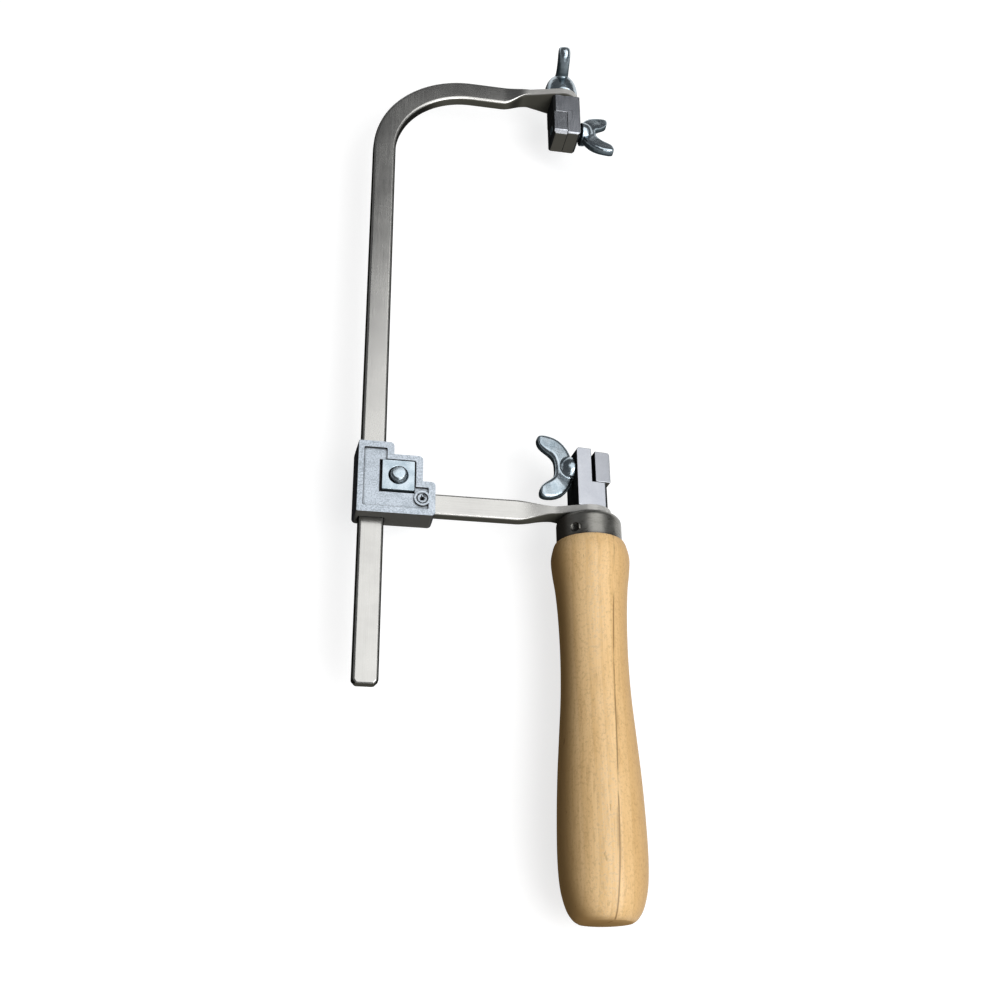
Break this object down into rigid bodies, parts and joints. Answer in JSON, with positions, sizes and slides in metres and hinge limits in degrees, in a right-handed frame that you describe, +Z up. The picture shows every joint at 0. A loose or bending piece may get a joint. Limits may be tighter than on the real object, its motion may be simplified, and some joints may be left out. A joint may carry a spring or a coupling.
{
  "type": "adjustable fret saw frame",
  "caption": "Adjustable fret saw frame: flat steel spine and arms, a split die-cast bracket, blade clamps with wing screws and a turned wooden handle",
  "frame": {"origin": "centre of the bounding box's bottom face", "axes": "+X from the spine to the blade line, +Y from the handle to the upper arm, +Z up, toward the bracket's front face; the saw lies flat on its back"},
  "size_m": [0.0858, 0.2982, 0.03],
  "materials": {
    "bar_steel": "satin nickelled bar",
    "cast_zinc": "matte die casting",
    "zinc_plate": "bright zinc plate",
    "clamp_steel": "satin",
    "ferrule_steel": "dark satin",
    "handle_wood": "varnished"
  },
  "bodies": {
    "bracket": {"bracket_body": "cast_zinc", "bracket_washer": "zinc_plate", "lower_arm": "bar_steel", "arm_rivet": "zinc_plate", "ferrule": "ferrule_steel", "handle": "handle_wood", "handle_tang": "clamp_steel", "lower_clamp_block": "clamp_steel"},
    "spine": {"spine_bar": "bar_steel"},
    "bracket_screw": {"bracket_wing_screw": "zinc_plate"},
    "bracket_square_nut": {"bracket_nut": "zinc_plate"},
    "upper_clamp": {"upper_clamp_block": "clamp_steel", "tension_stud": "zinc_plate"},
    "tension_nut": {"tension_wing_nut": "zinc_plate"},
    "upper_screw": {"upper_wing_screw": "zinc_plate"},
    "upper_plate": {"upper_jaw_plate": "clamp_steel"},
    "lower_screw": {"lower_wing_screw": "zinc_plate"},
    "lower_plate": {"lower_jaw_plate": "clamp_steel"}
  },
  "joints": [
    {"name": "spine_slide", "type": "slide", "parent": "bracket", "child": "spine", "axis": [0, 1, 0], "range_m": [-0.1, 0.045]},
    {"name": "bracket_screw_turn", "type": "hinge", "parent": "bracket", "child": "bracket_screw", "pos_m": [-0.03015, -0.02375, 0.0115], "axis": [0, 0, -1], "range_deg": [0, 360]},
    {"name": "bracket_nut_slide", "type": "slide", "parent": "bracket", "child": "bracket_square_nut", "axis": [0, 0, 1], "range_m": [0, 0.0008]},
    {"name": "tension_slide", "type": "slide", "parent": "spine", "child": "upper_clamp", "axis": [0, 1, 0], "range_m": [-0.0032, 0]},
    {"name": "tension_nut_turn", "type": "hinge", "parent": "spine", "child": "tension_nut", "pos_m": [0.02535, 0.13465, 0.01591], "axis": [0, 1, 0], "range_deg": [0, 1440]},
    {"name": "upper_screw_turn", "type": "hinge", "parent": "upper_clamp", "child": "upper_screw", "pos_m": [0.03086, 0.11975, 0.01591], "axis": [1, 0, 0], "range_deg": [0, 720]},
    {"name": "upper_plate_slide", "type": "slide", "parent": "upper_clamp", "child": "upper_plate", "axis": [-1, 0, 0], "range_m": [0, 0.0014]},
    {"name": "lower_screw_turn", "type": "hinge", "parent": "bracket", "child": "lower_screw", "pos_m": [0.02881, -0.01515, 0.01591], "axis": [-0.9962, 0, 0.0872], "range_deg": [-560, 360]},
    {"name": "lower_plate_slide", "type": "slide", "parent": "bracket", "child": "lower_plate", "axis": [0.9962, 0, -0.0872], "range_m": [-0.0011, 0.0007]}
  ],
  "couplings": [
    {"joint": "bracket_nut_slide", "follows": "bracket_screw_turn", "m_per_rad": 0.00012732},
    {"joint": "tension_nut_turn", "follows": "tension_slide", "rad_per_m": -7854},
    {"joint": "upper_plate_slide", "follows": "upper_screw_turn", "m_per_rad": 0.00011141},
    {"joint": "lower_plate_slide", "follows": "lower_screw_turn", "m_per_rad": 0.00011141}
  ]
}
